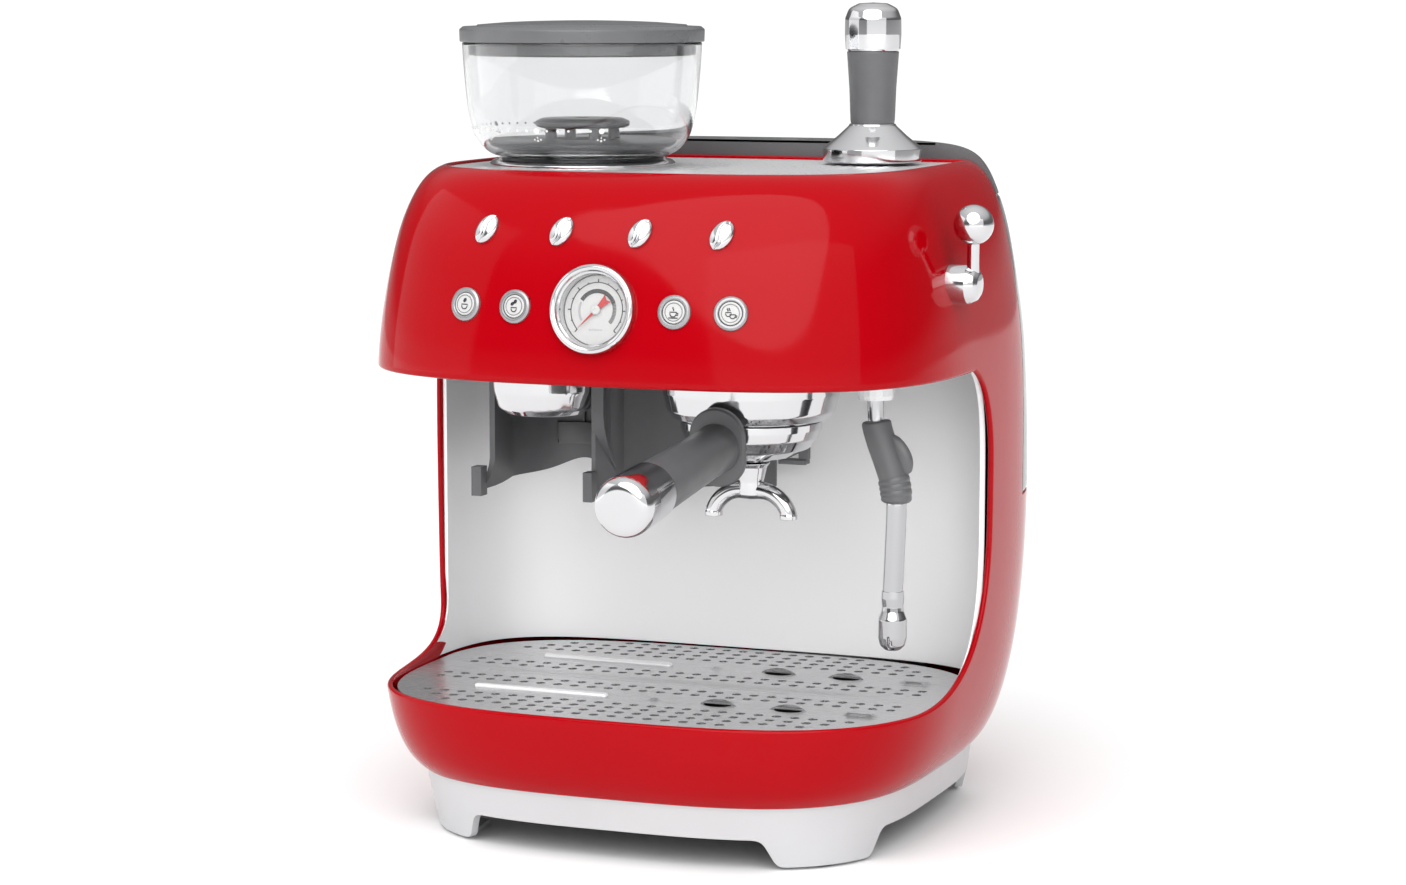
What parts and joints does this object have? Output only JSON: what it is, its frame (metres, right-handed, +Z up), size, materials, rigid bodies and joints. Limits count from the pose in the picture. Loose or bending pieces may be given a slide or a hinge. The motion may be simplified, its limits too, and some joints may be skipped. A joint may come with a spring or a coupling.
{
  "type": "espresso machine",
  "caption": "Domestic espresso machine with a red C-shaped enamel shell, bean hopper, portafilter, gauge, steam wand, drip tray and rear water tank.",
  "frame": {"origin": "on the ground at the middle of the bounding box in X and Y", "axes": "+Z up, -Y towards the front, where the portafilter handle points, +X towards the steam lever"},
  "size_m": [0.3238, 0.3808, 0.4255],
  "materials": {
    "red_enamel": "high gloss enamel",
    "silver_paint": "satin silver",
    "brushed_steel": "brushed",
    "chrome": "polished",
    "grey_plastic": "satin",
    "dark_plastic": "matt",
    "rubber": "matt",
    "clear_plastic": "clear",
    "smoked_plastic": "smoked",
    "white_face": "satin",
    "red_plastic": "gloss",
    "copper": "satin",
    "board_green": "satin"
  },
  "bodies": {
    "machine": {"body_shell": "red_enamel", "plinth_frame": "silver_paint", "foot_pad_1": "rubber", "foot_pad_2": "rubber", "foot_pad_3": "rubber", "foot_pad_4": "rubber", "base_plate": "dark_plastic", "tank_dock": "dark_plastic", "grinder_housing": "dark_plastic", "power_inlet": "dark_plastic", "splash_panel": "brushed_steel", "cup_warmer_plate": "brushed_steel", "shower_screen": "brushed_steel", "grinder_motor": "brushed_steel", "pump": "brushed_steel", "steam_valve": "brushed_steel", "outlet_collar": "chrome", "group_head": "chrome", "gauge_bezel": "chrome", "head_liner": "grey_plastic", "portafilter_cradle": "grey_plastic", "group_surround": "grey_plastic", "bean_ornament_1": "chrome", "button_ring_1": "chrome", "bean_ornament_2": "chrome", "button_ring_2": "chrome", "bean_ornament_3": "chrome", "button_ring_3": "chrome", "bean_ornament_4": "chrome", "button_ring_4": "chrome", "gauge_dial": "white_face", "gauge_lens": "clear_plastic", "boiler": "copper", "control_board": "board_green"},
    "burr": {"grinding_burr": "brushed_steel"},
    "hopper": {"hopper_bowl": "clear_plastic", "finger_guard": "grey_plastic"},
    "hopper_cover": {"hopper_lid": "grey_plastic"},
    "portafilter": {"portafilter_body": "chrome", "filter_basket": "brushed_steel", "portafilter_handle": "grey_plastic", "handle_cap": "chrome", "spout": "chrome"},
    "needle": {"gauge_needle": "red_plastic"},
    "lever": {"steam_lever": "chrome"},
    "wand_swivel": {"wand_ball": "chrome"},
    "steam_wand": {"wand_tube": "chrome", "wand_grip": "grey_plastic", "wand_tip": "chrome"},
    "tank": {"water_tank": "smoked_plastic"},
    "tank_cover": {"tank_lid": "grey_plastic"},
    "tray": {"drip_tray": "dark_plastic"},
    "grille": {"drip_grille": "brushed_steel"},
    "tamper": {"tamper_base": "chrome", "tamper_handle": "grey_plastic", "tamper_cap": "chrome"},
    "push_1": {"button_1": "white_face"},
    "push_2": {"button_2": "white_face"},
    "push_3": {"button_3": "white_face"},
    "push_4": {"button_4": "white_face"}
  },
  "joints": [
    {"name": "portafilter_turn", "type": "hinge", "parent": "machine", "child": "portafilter", "pos_m": [0.03358, -0.01757, 0.21], "axis": [0, 0, 1], "range_deg": [-45, 0]},
    {"name": "burr_spin", "type": "hinge", "parent": "machine", "child": "burr", "pos_m": [-0.06642, -0.00157, 0.29], "axis": [0, 0, 1], "continuous": true},
    {"name": "hopper_turn", "type": "hinge", "parent": "machine", "child": "hopper", "pos_m": [-0.06642, -0.00157, 0.35], "axis": [0, 0, 1], "range_deg": [-60, 60]},
    {"name": "hopper_lid_lift", "type": "slide", "parent": "hopper", "child": "hopper_cover", "axis": [0, 0, 1], "range_m": [0, 0.03]},
    {"name": "needle_sweep", "type": "hinge", "parent": "machine", "child": "needle", "pos_m": [-0.00842, -0.12275, 0.2785], "axis": [0, 0.9837, -0.1798], "range_deg": [0, 265]},
    {"name": "steam_lever_turn", "type": "hinge", "parent": "machine", "child": "lever", "pos_m": [0.14118, -0.01327, 0.287], "axis": [1, 0, 0], "range_deg": [-45, 45]},
    {"name": "wand_swivel", "type": "hinge", "parent": "machine", "child": "wand_swivel", "pos_m": [0.10558, -0.03257, 0.2345], "axis": [0, 0, 1], "range_deg": [-60, 60]},
    {"name": "wand_tilt", "type": "hinge", "parent": "wand_swivel", "child": "steam_wand", "pos_m": [0.10558, -0.03257, 0.2345], "axis": [0, 1, 0], "range_deg": [-18, 18]},
    {"name": "tank_lift", "type": "slide", "parent": "machine", "child": "tank", "axis": [0, 0, 1], "range_m": [0, 0.12]},
    {"name": "tank_lid_lift", "type": "slide", "parent": "tank", "child": "tank_cover", "axis": [0, 0, 1], "range_m": [0, 0.04]},
    {"name": "tray_lift", "type": "slide", "parent": "machine", "child": "tray", "axis": [0, 0, 1], "range_m": [0, 0.012]},
    {"name": "grille_lift", "type": "slide", "parent": "tray", "child": "grille", "axis": [0, 0, 1], "range_m": [0, 0.015]},
    {"name": "tamper_lift", "type": "slide", "parent": "machine", "child": "tamper", "axis": [0, 0, 1], "range_m": [0, 0.06]},
    {"name": "button_press_1", "type": "slide", "parent": "machine", "child": "push_1", "axis": [0.1738, 0.9673, -0.1848], "range_m": [0, 0.002], "stiffness_N_per_m": 300},
    {"name": "button_press_2", "type": "slide", "parent": "machine", "child": "push_2", "axis": [0.0541, 0.982, -0.181], "range_m": [0, 0.002], "stiffness_N_per_m": 300},
    {"name": "button_press_3", "type": "slide", "parent": "machine", "child": "push_3", "axis": [-0.0571, 0.9818, -0.181], "range_m": [0, 0.002], "stiffness_N_per_m": 300},
    {"name": "button_press_4", "type": "slide", "parent": "machine", "child": "push_4", "axis": [-0.1797, 0.9663, -0.1846], "range_m": [0, 0.002], "stiffness_N_per_m": 300}
  ]
}
